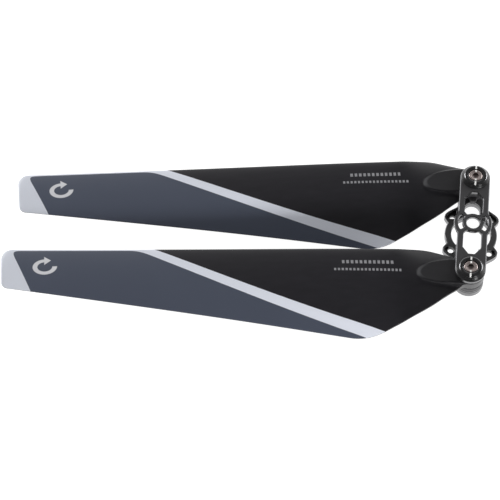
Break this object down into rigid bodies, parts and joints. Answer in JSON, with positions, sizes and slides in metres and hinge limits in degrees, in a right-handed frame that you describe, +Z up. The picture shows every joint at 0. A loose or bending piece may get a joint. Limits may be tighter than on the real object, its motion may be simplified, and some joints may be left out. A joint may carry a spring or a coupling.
{
  "type": "folding drone propeller",
  "caption": "Folding multirotor propeller: tapered, twisted blades that pivot between two hub plates above a motor ring with bolt ears.",
  "frame": {"origin": "on the motor's axis, in the plane of the hub's mounting face", "axes": "+Z up along the motor's axis, Y along the hub's arm with the rear pivot at +Y, and the folded blades point to -X"},
  "size_m": [0.2532, 0.1042, 0.0185],
  "materials": {
    "anodised": "black anodised, with glossy bevels",
    "composite": "satin black, painted slate grey and silver towards the tip",
    "steel": "bright plated",
    "bronze": "sintered",
    "nylon": "smooth dark grey"
  },
  "bodies": {
    "hub": {"top_plate": "anodised", "base_plate": "anodised", "pivot_screw_front": "steel", "screw_washer_front": "steel", "pivot_sleeve_front": "steel", "upper_friction_washer_front": "nylon", "lower_friction_washer_front": "nylon", "threaded_insert_front": "steel", "pivot_screw_rear": "steel", "screw_washer_rear": "steel", "pivot_sleeve_rear": "steel", "upper_friction_washer_rear": "nylon", "lower_friction_washer_rear": "nylon", "threaded_insert_rear": "steel"},
    "blade_front": {"blade_front": "composite", "root_bush_front": "bronze"},
    "blade_rear": {"blade_rear": "composite", "root_bush_rear": "bronze"}
  },
  "joints": [
    {"name": "fold_front", "type": "hinge", "parent": "hub", "child": "blade_front", "pos_m": [0, -0.028, 0], "axis": [0, 0, 1], "range_deg": [-1.5, 183.9]},
    {"name": "fold_rear", "type": "hinge", "parent": "hub", "child": "blade_rear", "pos_m": [0, 0.028, 0], "axis": [0, 0, 1], "range_deg": [-183.9, 1.5]}
  ]
}
